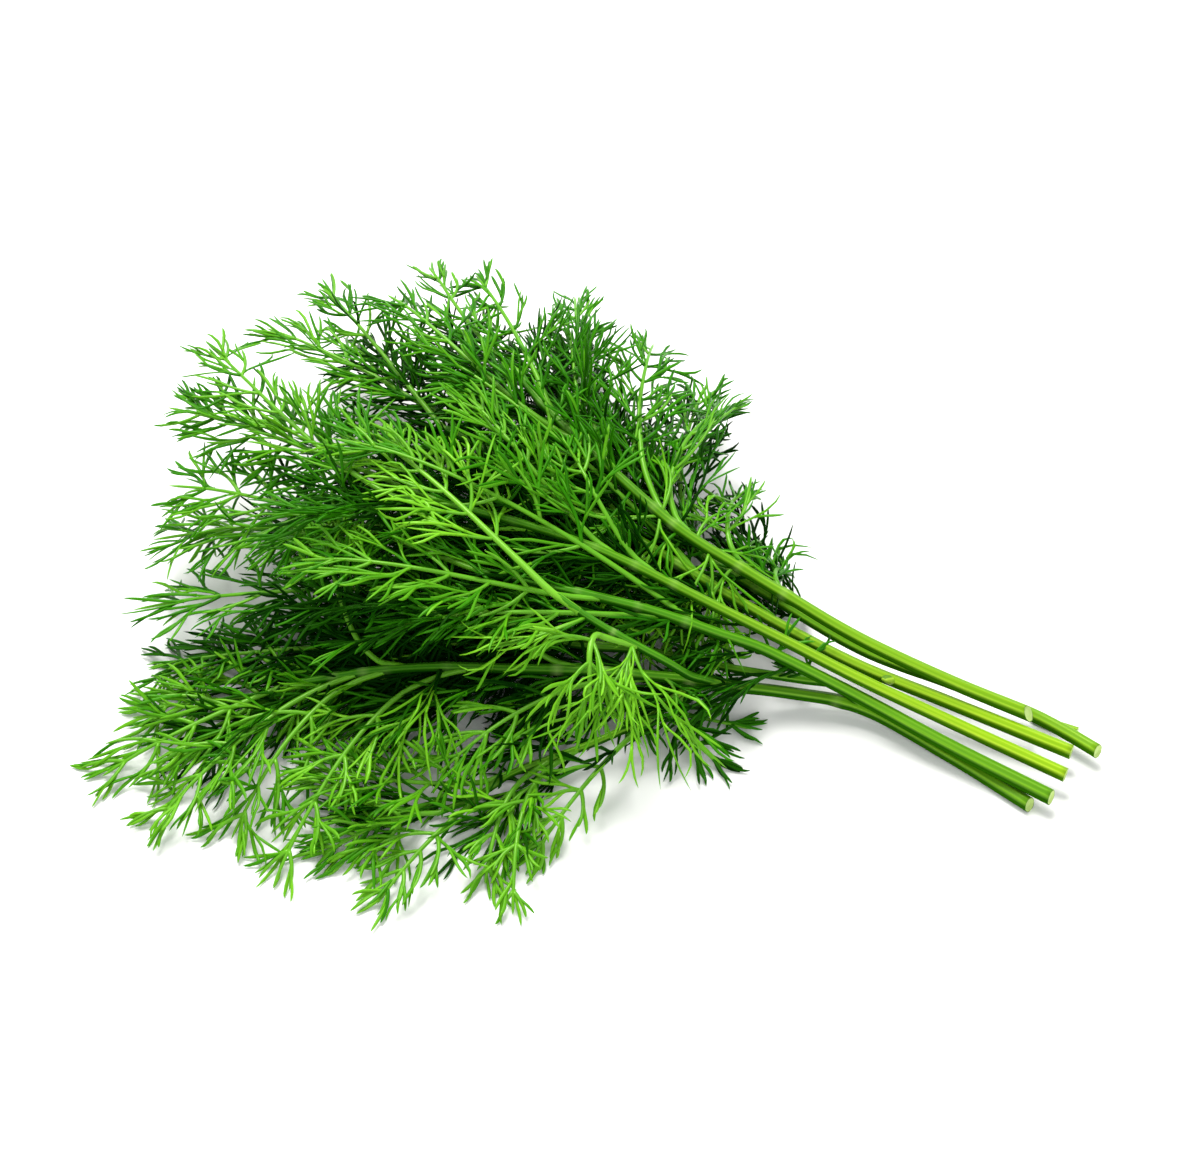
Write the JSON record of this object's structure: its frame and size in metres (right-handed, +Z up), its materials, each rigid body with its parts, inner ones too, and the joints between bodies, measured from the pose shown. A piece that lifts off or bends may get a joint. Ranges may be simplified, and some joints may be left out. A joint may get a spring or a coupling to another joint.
{
  "type": "dill bunch",
  "caption": "Loose bunch of fresh dill lying on its side: slim ribbed stems with cut ends together, opening into a broad fan of feathery thread-leaved fronds.",
  "frame": {"origin": "middle of the bunch's footprint, at the height of the surface that it lies on", "axes": "+X along the stems towards their cut ends, +Z up from the surface, +Y across the fan of fronds"},
  "size_m": [0.279, 0.2176, 0.0541],
  "materials": {
    "stem": "fresh green stem skin with a soft sheen, yellower at the cut ends",
    "leaf": "fresh green thread leaves with a waxy satin skin"
  },
  "bodies": {
    "root": {"branch_1": "stem", "branch_2": "stem", "branch_3": "stem", "frond_1a": "leaf", "frond_1b": "leaf", "frond_1c": "leaf", "frond_1d": "leaf", "frond_1e": "leaf", "frond_1f": "leaf", "frond_1g": "leaf", "frond_1h": "leaf", "frond_2a": "leaf", "frond_2b": "leaf", "frond_2c": "leaf", "frond_2d": "leaf", "frond_3a": "leaf", "frond_3b": "leaf", "frond_3c": "leaf", "frond_3d": "leaf", "frond_3e": "leaf", "frond_4a": "leaf", "frond_4b": "leaf", "frond_4c": "leaf", "frond_4d": "leaf", "frond_4e": "leaf", "frond_4f": "leaf", "frond_5a": "leaf", "frond_5b": "leaf", "frond_5c": "leaf", "frond_5d": "leaf", "frond_5e": "leaf", "frond_6a": "leaf", "frond_6b": "leaf", "frond_6c": "leaf", "frond_6d": "leaf", "frond_6e": "leaf", "frond_6f": "leaf", "frond_6g": "leaf", "frond_6h": "leaf", "frond_7a": "leaf", "frond_7b": "leaf", "frond_7c": "leaf", "frond_8a": "leaf", "frond_8b": "leaf", "frond_9a": "leaf", "frond_9b": "leaf", "frond_9c": "leaf", "frond_9d": "leaf", "frond_9e": "leaf", "frond_9f": "leaf", "frond_9g": "leaf", "stem_1": "stem", "stem_2": "stem", "stem_3": "stem", "stem_4": "stem", "stem_5": "stem", "stem_6": "stem", "stem_stub": "stem"}
  },
  "joints": []
}
